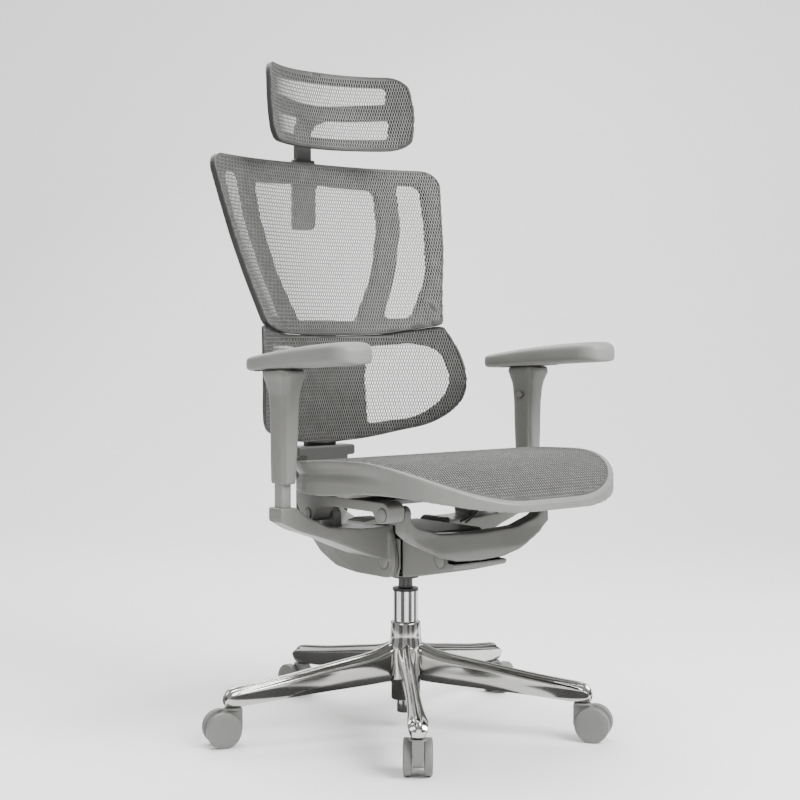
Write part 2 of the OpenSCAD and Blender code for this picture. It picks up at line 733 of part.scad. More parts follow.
module headrest_stem() {
    color(dark_grey) difference() {
        along_x(-stem_half, stem_half) outline([[stem_front, 962, 2], [stem_front, 1128, 6],
            [293, 1142, 6], [292, 1156, 7], [306, 1160, 6], [325, 1136, 10], [325, 962, 2]]);
        pin_x(-30, 30, headrest_pivot[0], headrest_pivot[1], 3 + fit);
    }
}

module headrest_hinge_pin() {
    color(steel) pin_x(-26, 26, headrest_pivot[0], headrest_pivot[1], 3);
}

headrest_outline = mirrored([[0, 1090, 0], [138, 1091, 60], [163, 1103, 26],
    [headrest_half, 1160, 220], [headrest_half - 9, 1236, 32], [0, 1239, 0]]);
headrest_window = mirrored([[0, 1174, 0], [136, 1185, 0], [139, 1216, 8], [0, 1219, 0]]);
headrest_low_window = mirrored([[0, 1112, 0], [136, 1115, 10], [140, 1152, 4], [0, 1146, 0]]);

module headrest_panel(t0, t1) { panel("headrest", 178, 1080, 1250, t0, t1, 22, 6); }

module headrest_frame() {
    color(dark_grey) difference() {
        union() {
            intersection() {
                headrest_panel(mesh_t, mesh_t + 15);
                along_y(60, 340) difference() {
                    outline(headrest_outline);
                    outline(headrest_window);
                    outline(headrest_low_window);
                }
            }
            both_sides() difference() {
                along_x(stem_half + 0.5, stem_half + 7) outline([[268, 1146], [268, 1172],
                    [300, 1159, 8], [309, 1150, 8], [300, 1141, 8]]);
                headrest_panel(-60, mesh_t + 4);
            }
        }
        both_sides() pin_x(10, 40, headrest_pivot[0], headrest_pivot[1], 3 + fit);
    }
}

module headrest_mesh() {
    color(mesh_grey) intersection() {
        headrest_panel(0, mesh_t);
        along_y(60, 340) outline(headrest_outline);
    }
}

// ---------- arms (drawn for the +X side) ----------

module arm_column(side) {
    color(grey) on_side(side)
        along_z(440, 560) outline(rect(arm_x - 10, arm_y - 13, arm_x + 10, arm_y + 13, 5));
}

sleeve_side = [[arm_y - 20, 479, 3], [arm_y + 20, 479, 3], [arm_y + 21, 600, 60],
    [arm_y + 25, 640, 20], [arm_y + 32, arm_top_z - 4, 4], [arm_y + 32, arm_top_z, 0],
    [arm_y - 34, arm_top_z, 0], [arm_y - 34, arm_top_z - 4, 4], [arm_y - 26, 640, 20],
    [arm_y - 22, 600, 60]];
sleeve_front = [[-16, 479, 2], [14, 479, 2], [16, 630, 30], [24, arm_top_z - 3, 3],
    [24, arm_top_z, 0], [-29, arm_top_z, 0], [-29, arm_top_z - 3, 3], [-22, 632, 20],
    [-21, 560, 60]];

// The frame of the pads: tipped up at the front about the top of the sleeve.
module arm_top_tilt() {
    translate([arm_x, arm_y, arm_top_z]) rotate([-arm_rake, 0, 0]) children();
}

module arm_sleeve(side) {
    color(grey) on_side(side) difference() {
        union() {
            intersection() {
                translate([arm_x, 0, 0]) along_y(-80, 40) outline(sleeve_front);
                along_x(arm_x - 32, arm_x + 30) outline(sleeve_side);
            }
            arm_top_tilt() along_z(-6, 5) outline(rect(-29, -34, 25, 33, 14));
        }
        along_z(470, 604) outline(rect(arm_x - 10.3, arm_y - 13.3, arm_x + 10.3, arm_y + 13.3, 5.3));
        pin_x(arm_x - 32, arm_x - 6, arm_y, 618, 6 + fit);
        arm_top_tilt() translate([0, 0, -7]) cylinder(r = 8 + fit, h = 20);
    }
}

module arm_button(side) {
    color(dark_grey) on_side(side) pin_x(arm_x - 25, arm_x - 10, arm_y, 618, 6);
}

module arm_swivel_plate(side) {
    half_w = swivel_plate_w / 2;
    color(dark_grey) on_side(side) arm_top_tilt() {
        rotate([0, 0, pad_toe_out]) along_z(5.3, 10.5)
            outline(rect(-half_w, -swivel_plate_l / 2, half_w, swivel_plate_l / 2, 8));
        translate([0, 0, -6.5]) cylinder(r = 8, h = 12);
    }
}

pad_plan = [[-pad_w / 2 + 4, -pad_l / 2, 30], [pad_w / 2 - 6, -pad_l / 2, 34],
    [pad_w / 2, 30, 80], [pad_w / 2 - 8, pad_l / 2, 30], [-pad_w / 2 + 8, pad_l / 2, 34],
    [-pad_w / 2 + 6, 10, 80]];
pad_side = [[-pad_l / 2 - 1, 6, 8], [pad_l / 2 + 1, 6, 6], [pad_l / 2 + 1, 31, 12], [30, 40, 120],
    [-pad_l / 2 - 1, 44, 16]];

module arm_pad(side) {
    half_w = swivel_plate_w / 2 + 0.3;
    half_l = swivel_plate_l / 2 + pad_travel + 1;
    color(grey) on_side(side) arm_top_tilt() rotate([0, 0, pad_toe_out]) difference() {
        translate([-10, -58, 0]) intersection() {
            along_z(5, 60) outline(pad_plan, 8);
            along_x(-60, 60) outline(pad_side);
        }
        along_z(0, 10.8) outline(rect(-half_w, -half_l, half_w, half_l, 8));
    }
}

// ---------- control cables ----------

cable_routes = [
    [[100, -112, 441], [96, -112, 437], [86, -110, 424], [72, -108, 410], [60, -106, 400], [52, -105, 396]],
    [[132, -84, 441], [126, -84, 436], [110, -84, 424], [92, -86, 410], [70, -90, 400], [52, -92, 397]]];

function tube_rings(path, r, n) = [for (i = [0:len(path) - 1])
    let (a = path[max(i - 1, 0)], b = path[min(i + 1, len(path) - 1)], t = (b - a) / norm(b - a))
    let (u = cross(t, [0, 1, 0]), v = cross(t, u / norm(u)))
    [for (j = [0:n - 1]) path[i] + r * (u / norm(u) * cos(360 * j / n) + v * sin(360 * j / n))]];

module tube(path, r, n = 8) {
    rings = tube_rings(path, r, n);
    last = len(path) - 1;
    polyhedron([for (ring = rings) each ring], concat(
        [for (i = [0:last - 1]) for (j = [0:n - 1]) let (k = (j + 1) % n)
            each [[i * n + j, i * n + k, i * n + n + j], [i * n + k, i * n + n + k, i * n + n + j]]],
        [[for (j = [n - 1:-1:0]) j]], [[for (j = [0:n - 1]) last * n + j]]));
}

module control_cables() { color(black) for (route = cable_routes) tube(route, 2.2); }

// ---------- the assembly ----------

module on_floor() { translate([0, 0, -floor_z]) children(); }

on_floor() base_star();
on_floor() gas_lift_outer_tube();
on_floor() gas_lift_bushing();
on_floor() gas_lift_rod();
on_floor() gas_lift_clip();
on_floor() gas_lift_thrust_bearing();
on_floor() gas_lift_cylinder();
on_floor() gas_valve_pin();
on_floor() valve_lever();
on_floor() mechanism_housing();
on_floor() mechanism_front_cover();
on_floor() main_pivot_shaft();
on_floor() front_pivot_shaft();
on_floor() tilt_springs();
on_floor() back_lever();
on_floor() mechanism_rear_cover();
on_floor() back_upright();
on_floor() front_yoke();
on_floor() seat_carriage();
on_floor() carriage_pivot_pins();
on_floor() seat_depth_lever();
on_floor() seat_height_lever();
on_floor() tilt_lock_lever();
on_floor() control_cables();
on_floor() seat_frame();
on_floor() seat_mesh();
on_floor() back_spine();
on_floor() upper_back_frame();
on_floor() upper_back_mesh();
on_floor() headrest_bracket();
on_floor() lumbar_frame();
on_floor() lumbar_mesh();
on_floor() lumbar_guide_pins();
on_floor() headrest_stem();
on_floor() headrest_hinge_pin();
on_floor() headrest_frame();
on_floor() headrest_mesh();
for (side = SIDES) {
    on_floor() arm_column(side);
    on_floor() arm_sleeve(side);
    on_floor() arm_button(side);
    on_floor() arm_swivel_plate(side);
    on_floor() arm_pad(side);
}
for (i = [1:5]) {
    on_floor() castor_fork(i);
    on_floor() castor_wheels(i);
}
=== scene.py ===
import math

import bpy
import bmesh
import numpy as np
from mathutils import Matrix, Vector


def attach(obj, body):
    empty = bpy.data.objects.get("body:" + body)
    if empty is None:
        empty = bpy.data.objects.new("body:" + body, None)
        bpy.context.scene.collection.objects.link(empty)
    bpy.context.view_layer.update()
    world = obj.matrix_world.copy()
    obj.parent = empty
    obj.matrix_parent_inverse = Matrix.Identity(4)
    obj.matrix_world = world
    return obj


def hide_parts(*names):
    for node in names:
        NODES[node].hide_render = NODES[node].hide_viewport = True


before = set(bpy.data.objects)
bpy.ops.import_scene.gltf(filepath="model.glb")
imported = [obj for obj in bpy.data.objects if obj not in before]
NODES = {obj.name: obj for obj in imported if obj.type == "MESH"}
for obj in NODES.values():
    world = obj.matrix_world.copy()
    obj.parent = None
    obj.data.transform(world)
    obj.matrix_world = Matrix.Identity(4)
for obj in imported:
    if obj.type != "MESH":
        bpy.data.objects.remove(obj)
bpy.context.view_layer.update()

FLOOR_Z = 0.014     # the CAD outlines are drawn from a plane this far under the floor, in metres
SIDES = (("left", 1), ("right", -1))


def mm(z):
    """A height of the CAD outlines, in millimetres, as a height above the floor in metres."""
    return z / 1000 - FLOOR_Z


# ---------- camera ----------

camera_data = bpy.data.cameras.new("camera")
camera_data.sensor_width = 36
camera_data.lens = 67.8
camera = bpy.data.objects.new("camera", camera_data)
camera.location = (-1.737, -2.1026, 0.7066)
camera.rotation_euler = Vector((0.63357, 0.77268, -0.0394)).to_track_quat("-Z", "Y").to_euler()
bpy.context.scene.collection.objects.link(camera)
bpy.context.scene.camera = camera


# ---------- materials ----------

def material(name, dark, light, rough, metallic=0.0, grain=900.0, bump=0.1, depth=0.0004,
             patch=9.0, wear=0.0, wear_color=(0.7, 0.7, 0.68), fibre=None, **sockets):
    """A procedural finish: colour drifts between dark and light, grain and wear from nodes."""
    m = bpy.data.materials.new(name)
    m.use_nodes = True
    nt = m.node_tree
    nt.nodes.clear()
    new, link = nt.nodes.new, nt.links.new
    out = new("ShaderNodeOutputMaterial")
    bsdf = new("ShaderNodeBsdfPrincipled")
    link(bsdf.outputs[0], out.inputs[0])
    bsdf.inputs["Metallic"].default_value = metallic
    for key, value in sockets.items():
        bsdf.inputs[key.replace("_", " ")].default_value = value
    coord = new("ShaderNodeTexCoord")
    big = new("ShaderNodeTexNoise")
    big.inputs["Scale"].default_value = patch
    big.inputs["Detail"].default_value = 5
    link(coord.outputs["Object"], big.inputs["Vector"])
    fine = new("ShaderNodeTexNoise")
    fine.inputs["Scale"].default_value = grain
    fine.inputs["Detail"].default_value = 3
    link(coord.outputs["Object"], fine.inputs["Vector"])
    blend = new("ShaderNodeMix")
    blend.data_type = "FLOAT"
    blend.inputs[0].default_value = 0.35
    link(big.outputs["Fac"], blend.inputs[2])
    link(fine.outputs["Fac"], blend.inputs[3])
    ramp = new("ShaderNodeValToRGB")
    ramp.color_ramp.elements[0].position = 0.34
    ramp.color_ramp.elements[1].position = 0.66
    ramp.color_ramp.elements[0].color = (*dark, 1)
    ramp.color_ramp.elements[1].color = (*light, 1)
    link(blend.outputs[0], ramp.inputs[0])
    color = ramp.outputs[0]
    if wear:
        geo = new("ShaderNodeNewGeometry")
        edge = new("ShaderNodeMapRange")
        edge.inputs["From Min"].default_value = 0.52
        edge.inputs["From Max"].default_value = 0.62
        edge.inputs["To Max"].default_value = wear
        link(geo.outputs["Pointiness"], edge.inputs["Value"])
        mix = new("ShaderNodeMix")
        mix.data_type = "RGBA"
        mix.inputs[7].default_value = (*wear_color, 1)
        link(edge.outputs[0], mix.inputs[0])
        link(color, mix.inputs[6])
        color = mix.outputs[2]
    link(color, bsdf.inputs["Base Color"])
    shine = new("ShaderNodeMapRange")
    shine.inputs["To Min"].default_value = rough[0]
    shine.inputs["To Max"].default_value = rough[1]
    link(big.outputs["Fac"], shine.inputs["Value"])
    link(shine.outputs[0], bsdf.inputs["Roughness"])
    if fibre:
        wave = new("ShaderNodeTexWave")
        wave.bands_direction = fibre[0]
        wave.inputs["Scale"].default_value = fibre[1]
        wave.inputs["Distortion"].default_value = 2.5
        wave.inputs["Detail"].default_value = 2
        link(coord.outputs["Object"], wave.inputs["Vector"])
        height = wave.outputs["Fac"]
    elif grain < 600:
        cells = new("ShaderNodeTexVoronoi")
        cells.inputs["Scale"].default_value = grain
        link(coord.outputs["Object"], cells.inputs["Vector"])
        height = cells.outputs["Distance"]
    else:
        height = fine.outputs["Fac"]
    relief = new("ShaderNodeBump")
    relief.inputs["Strength"].default_value = bump
    relief.inputs["Distance"].default_value = depth
    link(height, relief.inputs["Height"])
    link(relief.outputs[0], bsdf.inputs["Normal"])
    return m


GREY = material("grey_plastic", (0.142, 0.142, 0.133), (0.168, 0.168, 0.158), (0.36, 0.5),
                bump=0.25, wear=0.25, wear_color=(0.3, 0.3, 0.29))
CAST = material("grey_cast", (0.134, 0.134, 0.126), (0.162, 0.162, 0.152), (0.3, 0.42), grain=700,
                bump=0.2, wear=0.3, wear_color=(0.3, 0.3, 0.29))
DARK = material("dark_grey_plastic", (0.034, 0.034, 0.032), (0.046, 0.046, 0.044), (0.42, 0.58),
                bump=0.25, wear=0.3, wear_color=(0.08, 0.08, 0.075))
FRAME = material("back_frame_plastic", (0.02, 0.02, 0.019), (0.029, 0.029, 0.0275), (0.5, 0.65),
                 bump=0.25, wear=0.2, wear_color=(0.04, 0.04, 0.038))
BLACK = material("black_plastic", (0.01, 0.01, 0.01), (0.016, 0.016, 0.016), (0.35, 0.5), bump=0.2)
PAINT = material("black_steel", (0.012, 0.012, 0.0125), (0.022, 0.022, 0.022), (0.22, 0.36), grain=1500,
                 bump=0.06, wear=0.3, wear_color=(0.1, 0.1, 0.1))
ALUMINIUM = material("polished_aluminium", (0.47, 0.465, 0.45), (0.56, 0.555, 0.54), (0.08, 0.15),
                     metallic=1.0, grain=260, bump=0.012, patch=14)
CHROME = material("chrome_tube", (0.48, 0.48, 0.47), (0.57, 0.57, 0.57), (0.05, 0.1), metallic=1.0,
                  grain=1400, bump=0.01)
STEEL = material("ground_steel", (0.32, 0.32, 0.32), (0.41, 0.41, 0.405), (0.22, 0.36), metallic=1.0,
                 bump=0.08, fibre=("X", 900))
PAD = material("pad_skin", (0.152, 0.152, 0.143), (0.178, 0.178, 0.168), (0.5, 0.62), grain=520,
               bump=0.16, depth=0.0003, Sheen_Weight=0.05)
CASTOR = material("castor_nylon", (0.14, 0.14, 0.132), (0.166, 0.166, 0.156), (0.38, 0.52), bump=0.2,
                  wear=0.2, wear_color=(0.28, 0.28, 0.27))
TREAD = material("castor_tread", (0.134, 0.134, 0.127), (0.16, 0.16, 0.152), (0.42, 0.58), bump=0.3)
WEAVE = material("woven_threads", (0.125, 0.125, 0.1175), (0.195, 0.195, 0.183), (0.5, 0.65), grain=1600,
                 bump=0.5, depth=0.0002, patch=60, Sheen_Weight=0.1, Sheen_Roughness=0.5)
SEAT_WEAVE = material("woven_seat_threads", (0.1, 0.1, 0.094), (0.165, 0.165, 0.155), (0.5, 0.65),
                      grain=1600, bump=0.5, depth=0.0002, patch=60, Sheen_Weight=0.1,
                      Sheen_Roughness=0.5)
# Near black: painted shade on the sides of the threads, so the holes of the nets read as shaded slits,
# and on the sheet under the seat weave.
PAINTED_SHADE_SLIT = material("thread_sides_painted_shade", (0.016, 0.016, 0.015), (0.028, 0.028, 0.0265), (0.6, 0.75), grain=1600,
                bump=0.4, depth=0.0002, patch=60)
BINDING = material("edge_binding", (0.032, 0.032, 0.03), (0.048, 0.048, 0.0455), (0.5, 0.65), grain=1600,
                   bump=0.4, depth=0.0002, patch=40)
CABLE = material("cable_sheath", (0.01, 0.01, 0.01), (0.017, 0.017, 0.017), (0.3, 0.42), bump=0.2)


# ---------- mesh helpers ----------

def add(name, verts, faces, mat, body=None):
    """A new piece from vertices and faces, with its finish and the body it rides on."""
    mesh = bpy.data.meshes.new(name)
    mesh.from_pydata([tuple(v) for v in verts], [], [tuple(f) for f in faces])
    mesh.validate()
    mesh.polygons.foreach_set("use_smooth", [True] * len(mesh.polygons))
    mesh.materials.append(mat)
    piece = bpy.data.objects.new(name, mesh)
    bpy.context.scene.collection.objects.link(piece)
    bm = bmesh.new()
    bm.from_mesh(mesh)
    bmesh.ops.recalc_face_normals(bm, faces=bm.faces)
    bm.to_mesh(mesh)
    bm.free()
    if body:
        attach(piece, body)
    return piece


def bake(piece):
    """Applies a piece's modifiers to its mesh."""
    bpy.context.view_layer.update()
    graph = bpy.context.evaluated_depsgraph_get()
    mesh = bpy.data.meshes.new_from_object(piece.evaluated_get(graph))
    mesh.name = piece.name
    piece.modifiers.clear()
    piece.data = mesh
    return piece


def subdivide(piece):
    """Smooths a piece with two levels of subdivision."""
    smooth = piece.modifiers.new("smooth", "SUBSURF")
    smooth.levels = smooth.render_levels = 2
    return bake(piece)


def soften(node, name, mat, body, voxel=0.002, steps=6):
    """A moulded or cast copy of a CAD node, with its edges and inner corners rounded."""
    piece = bpy.data.objects.new(name, NODES[node].data.copy())
    bpy.context.scene.collection.objects.link(piece)
    piece.data.materials.clear()
    remesh = piece.modifiers.new("voxels", "REMESH")
    remesh.mode = "VOXEL"
    remesh.voxel_size = voxel
    remesh.use_smooth_shade = True
    relax = piece.modifiers.new("relax", "SMOOTH")
    relax.factor = 0.5
    relax.iterations = steps
    bake(piece)
    piece.data.materials.clear()
    piece.data.materials.append(mat)
    piece.data.polygons.foreach_set("use_smooth", [True] * len(piece.data.polygons))
    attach(piece, body)
    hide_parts(node)
    return piece


def finish_cad(node, mat, bevel=0.0008):
    """A CAD node that stays: its finish, and a small bevel on its edges."""
    o = NODES[node]
    o.data.materials.clear()
    o.data.materials.append(mat)
    for s in o.material_slots:
        s.material = mat
    if bevel:
        b = o.modifiers.new("edge", "BEVEL")
        b.width = bevel
        b.segments = 2
        b.limit_method = "ANGLE"
        b.angle_limit = math.radians(35)
        b.harden_normals = False


def lathe(name, profile, mat, body, place=Matrix(), steps=64):
    """A turned piece: profile of (radius, height) pairs about the local Z axis."""
    verts, faces = [], []
    n = len(profile)
    for i in range(steps):
        a = 2 * math.pi * i / steps
        for r, h in profile:
            verts.append(place @ Vector((r * math.cos(a), r * math.sin(a), h)))
    for i in range(steps):
        k = (i + 1) % steps
        for j in range(n - 1):
            faces.append((i * n + j, k * n + j, k * n + j + 1, i * n + j + 1))
    piece = add(name, verts, faces, mat)
    bm = bmesh.new()
    bm.from_mesh(piece.data)
    bmesh.ops.remove_doubles(bm, verts=bm.verts, dist=1e-6)
    bmesh.ops.holes_fill(bm, edges=bm.edges, sides=0)
    bmesh.ops.recalc_face_normals(bm, faces=bm.faces)
    bm.to_mesh(piece.data)
    bm.free()
    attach(piece, body)
    return piece


def towards(point, axis):
    """A placement whose Z axis points along axis, at point."""
    return Matrix.Translation(Vector(point)) @ Vector(axis).to_track_quat("Z", "Y").to_matrix().to_4x4()


def loop_tube(path, radius, sides=10):
    """Vertices and faces of a tube along a closed path."""
    pts = [Vector(p) for p in path]
    n = len(pts)
    verts, faces = [], []
    for i, p in enumerate(pts):
        t = (pts[(i + 1) % n] - pts[(i - 1) % n]).normalized()
        u = Vector((0, 0, 1)).cross(t)
        u = u.normalized() if u.length > 1e-5 else Vector((1, 0, 0))
        v = t.cross(u)
        for j in range(sides):
            w = 2 * math.pi * j / sides
            verts.append(p + u * (radius * math.cos(w)) + v * (radius * math.sin(w)))
    for i in range(n):
        k = (i + 1) % n
        for j in range(sides):
            m = (j + 1) % sides
            faces.append((i * sides + j, i * sides + m, k * sides + m, k * sides + j))
    return verts, faces


# ---------- outlines, as in the CAD ----------

def rounded(corners, n=8):
    """Points of an outline whose corners (x, y, radius) are rounded."""
    out = []
    m = len(corners)
    for i in range(m):
        a, b, c = (np.array(corners[k % m][:2], float) for k in (i - 1, i, i + 1))
        r = corners[i][2] if len(corners[i]) > 2 else 0
        if r == 0:
            out.append(b)
            continue
        u, v = (a - b) / np.linalg.norm(a - b), (c - b) / np.linalg.norm(c - b)
        half = math.acos(max(-1, min(1, float(u @ v)))) / 2
        o = b + (u + v) / np.linalg.norm(u + v) * r / math.sin(half)
        p, q = b + u * r / math.tan(half) - o, b + v * r / math.tan(half) - o
        start = math.atan2(p[1], p[0])
        turn = math.atan2(q[1], q[0]) - start
        turn = turn - 2 * math.pi if turn > math.pi else turn + 2 * math.pi if turn < -math.pi else turn
        for k in range(n + 1):
            w = start + turn * k / n
            out.append(o + r * np.array([math.cos(w), math.sin(w)]))
    return np.array(out)


def mirrored(half):
    """An outline from the corners of its right half, which start and end on the middle line."""
    return list(half) + [(-p[0], *p[1:]) for p in reversed(half) if abs(p[0]) > 0.01]


def resample(outline, step):
    """Points at an even spacing round a closed outline."""
    closed = np.vstack([outline, outline[:1]])
    seg = np.linalg.norm(np.diff(closed, axis=0), axis=1)
    s = np.concatenate([[0], np.cumsum(seg)])
    n = max(12, int(s[-1] / step))
    t = np.linspace(0, s[-1], n, endpoint=False)
    return np.column_stack([np.interp(t, s, closed[:, k]) for k in (0, 1)])


def inside(outline, pts):
    """Which of the points lie inside a closed outline."""
    x, y = pts[:, 0], pts[:, 1]
    res = np.zeros(len(pts), bool)
    for (x0, y0), (x1, y1) in zip(outline, np.roll(outline, -1, axis=0)):
        if y0 == y1:
            continue
        hit = ((y0 > y) != (y1 > y)) & (x < (x1 - x0) * (y - y0) / (y1 - y0) + x0)
        res ^= hit
    return res


def nearest(outline, pts):
    """The closest point of a closed outline to each point."""
    best = np.full(len(pts), 1e9)
    res = pts.copy()
    for a, b in zip(outline, np.roll(outline, -1, axis=0)):
        d = b - a
        l2 = d @ d
        if l2 < 1e-12:
            continue
        t = np.clip((pts - a) @ d / l2, 0, 1)
        q = a + t[:, None] * d
        dist = np.linalg.norm(pts - q, axis=1)
        hit = dist < best
        best[hit] = dist[hit]
        res[hit] = q[hit]
    return res


def inset(outline, d):
    """A closed outline moved in by d."""
    a, b = np.roll(outline, 1, axis=0), np.roll(outline, -1, axis=0)
    t = b - a
    t /= np.maximum(np.linalg.norm(t, axis=1), 1e-9)[:, None]
    n = np.column_stack([-t[:, 1], t[:, 0]])
    p = outline + n * d
    if not inside(outline, p).mean() > 0.5:
        p = outline - n * d
    return p


def cut_area(outline):
    """The flat area inside an outline in millimetres, in square metres."""
    x, y = outline[:, 0], outline[:, 1]
    return abs(float(x @ np.roll(y, -1) - y @ np.roll(x, -1))) / 2e6


# ---------- panel surfaces, as in the CAD (millimetres) ----------

LUMBAR_BEND, HEADREST_BEND = 281, 205

def back_bend(z):
    """The radius the upper back is bent to, which grows with height."""
    return 262 + 255 * (z - 750) / 308


def back_y(x, z):
    r = back_bend(z)
    return 235 + 60 * (z - 750) / 308 - r + np.sqrt(np.maximum(400, r * r - x * x))


def lumbar_y(x, z):
    return 229 + 6 * ((z - 640) / 100) ** 2 - LUMBAR_BEND + np.sqrt(LUMBAR_BEND ** 2 - x * x)


def headrest_y(x, z):
    return (266 - 14 * ((z - 1170) / 70) ** 2 * np.where(z < 1170, 0.6, 0) + 0.06 * (z - 1170)
            - HEADREST_BEND + np.sqrt(HEADREST_BEND ** 2 - x * x))


def seat_top(y):
    return np.where(y > -190, 525 - 25 * ((y + 190) / 290) ** 2, 525 - 65 * ((-190 - y) / 195) ** 2)


SURFACES = {
    "back": (back_y, back_bend),
    "lumbar": (lumbar_y, lambda z: LUMBAR_BEND + 0 * z),
    "headrest": (headrest_y, lambda z: HEADREST_BEND + 0 * z),
}

BACK_OUTLINE = rounded(mirrored([(0, 730, 0), (120, 734, 200), (208, 751, 14), (246, 900, 600),
                                 (272, 1062, 30), (0, 1066, 0)]))
LUMBAR_OUTLINE = rounded(mirrored([(0, 523, 0), (90, 530, 400), (196, 556, 85), (232, 592, 80),
                                   (240, 645, 165), (230, 704, 240), (213, 749.5, 8),
                                   (120, 732.5, 200), (0, 728.5, 0)]))
HEADREST_OUTLINE = rounded(mirrored([(0, 1090, 0), (138, 1091, 60), (163, 1103, 26),
                                     (171, 1160, 220), (162, 1236, 32), (0, 1239, 0)]))
SEAT_OUTLINE = rounded([(256, 100, 165), (-256, 100, 165), (-256, -385, 200), (256, -385, 200)], 24)


def on_panel(kind, x, z, t):
    """Points of a panel's surface, moved back by t, in metres."""
    y = SURFACES[kind][0](x, z) + t
    return np.column_stack([x, y, z - FLOOR_Z * 1000]) / 1000


def on_seat(x, y, t):
    """Points of the seat's surface, moved down by t, in metres."""
    return np.column_stack([x, y, seat_top(y) - t - FLOOR_Z * 1000]) / 1000


# ---------- woven nets ----------

PITCH_U, PITCH_V = 5.0, 7.0
LEAN = 1.8                       # how far the thread crossings zigzag up and down along a row
BACK_THREAD = (0.9, 0.6)         # half widths of the upright and of the slanting threads
SEAT_THREAD = (0.95, 0.65)
CROWN = 0.28                     # how far the threads bulge at a hole's shoulders, and sink elsewhere
NET_DEPTH = 0.4                  # the gap from the panel's face surface to a net
EDGE_R, EDGE_DEPTH = 0.0019, 2.4             # the binding of the back panels, in metres and millimetres
SEAT_CORD_R, SEAT_CORD_DEPTH = 0.0014, 1.6   # the cord round the seat cloth, likewise


def drop_loose(piece):
    """Removes a mesh's collapsed faces and the vertices no face uses."""
    bm = bmesh.new()
    bm.from_mesh(piece.data)
    bmesh.ops.dissolve_degenerate(bm, dist=2e-5, edges=bm.edges)
    bmesh.ops.delete(bm, geom=[v for v in bm.verts if not v.link_faces], context="VERTS")
    bm.to_mesh(piece.data)
    bm.free()


def net(name, outline, to_plan, to_space, extent, mat, body, thread, thick=1.1):
    """A staggered net of long six-sided holes inside an outline. extent is (u0, u1, v0, v1) in
    millimetres, to_plan takes (u, v) to the outline's plane, to_space takes plane points and a
    depth to metres."""
    u0, u1, v0, v1 = extent
    nu, nv = int((u1 - u0) / PITCH_U) + 1, int((v1 - v0) / PITCH_V) + 1
    gu = u0 + np.arange(2 * nu + 3) * PITCH_U / 2
    gv = v0 + np.arange(nv + 1) * PITCH_V
    grid = np.array([(u, v + (LEAN if (i + j) % 2 == 0 else -LEAN))
                     for j, v in enumerate(gv) for i, u in enumerate(gu)])
    row = len(gu)
    cells = np.array([(j * row + 2 * i + (j % 2), j) for j in range(nv) for i in range(nu)])
    first = cells[:, 0]
    centre = grid[first] + [PITCH_U / 2, PITCH_V / 2 - LEAN]
    keep = inside(outline, to_plan(centre))
    first, centre = first[keep], centre[keep]
    plan = to_plan(grid)
    used = np.unique(np.concatenate([first + k for k in (0, 1, 2, row, row + 1, row + 2)]))
    outer_in = inside(outline, plan)
    clipped = used[~outer_in[used]]
    plan[clipped] = nearest(outline, plan[clipped])
    ring = [0, 1, 2, row + 2, row + 1, row]
    slope = 4 * LEAN / PITCH_U
    side = PITCH_U / 2 - thread[0]
    tip = PITCH_V / 2 + LEAN - thread[1] * math.hypot(1, slope)
    shoulder = tip - slope * side
    hole = np.array([(-side, -shoulder), (0, -tip), (side, -shoulder), (side, shoulder), (0, tip),
                     (-side, shoulder)])
    edge = np.zeros(len(grid), bool)
    edge[clipped] = True
    verts_plan, lift, faces = [plan], [np.where(edge, 0.0, -CROWN)], []
    at = len(grid)
    full = ~np.any(np.column_stack([edge[first + k] for k in ring]), axis=1)
    for f, c, ok in zip(first, centre, full):
        o = [f + k for k in ring]
        if not ok:
            faces += [(o[0], o[1], o[4], o[5]), (o[1], o[2], o[3], o[4])]
            continue
        verts_plan.append(to_plan(c + hole))
        lift.append(CROWN * np.array([1, -1, 1, 1, -1, 1]))
        h = list(range(at, at + 6))
        at += 6
        for k in range(6):
            m = (k + 1) % 6
            faces.append((o[k], o[m], h[m], h[k]))
    pts = np.concatenate(verts_plan)
    up = np.concatenate(lift)
    verts = to_space(pts, thick / 2 + NET_DEPTH - up)
    piece = add(name, verts, faces, mat)
    piece.data.materials.append(PAINTED_SHADE_SLIT)
    piece.data.materials.append(BINDING)
    for p in piece.data.polygons:
        if max(p.vertices) < len(grid):
            p.material_index = 2          # a closed cell at the border
    drop_loose(piece)
    solid = piece.modifiers.new("thread", "SOLIDIFY")
    solid.thickness = thick / 1000
    solid.offset = 0
    # The sides of the threads take the near-black material: painted shade in the holes.
    solid.material_offset_rim = 1
    bake(piece)
    piece.data.polygons.foreach_set("use_smooth", [True] * len(piece.data.polygons))
    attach(piece, body)
    return piece


def panel_net(name, kind, outline, node):
    """The woven face of a back panel, laid out by arc length round its bend."""
    lo, hi = outline.min(axis=0), outline.max(axis=0)
    bend = SURFACES[kind][1]
    widest = 1.25 * hi[0]

    def to_plan(p):
        r = bend(p[:, 1])
        return np.column_stack([r * np.sin(np.clip(p[:, 0] / r, -1.3, 1.3)), p[:, 1]])

    piece = net(name, outline, to_plan, lambda p, t: on_panel(kind, p[:, 0], p[:, 1], t),
                (-widest, widest, lo[1], hi[1]), WEAVE, kind, BACK_THREAD)
    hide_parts(node)
    radius = bend(outline[:, 1])
    cut = np.column_stack([radius * np.arcsin(outline[:, 0] / radius), outline[:, 1]])
    cut_area(cut)


def edge_tube(name, points, radius, body):
    """The bound edge of a woven panel."""
    verts, faces = loop_tube(points, radius)
    add(name, verts, faces, BINDING, body)


# ---------- base ----------

def leg_angle(i):
    """Which way leg i, from 0, points."""
    return math.radians(90 + 72 * i)


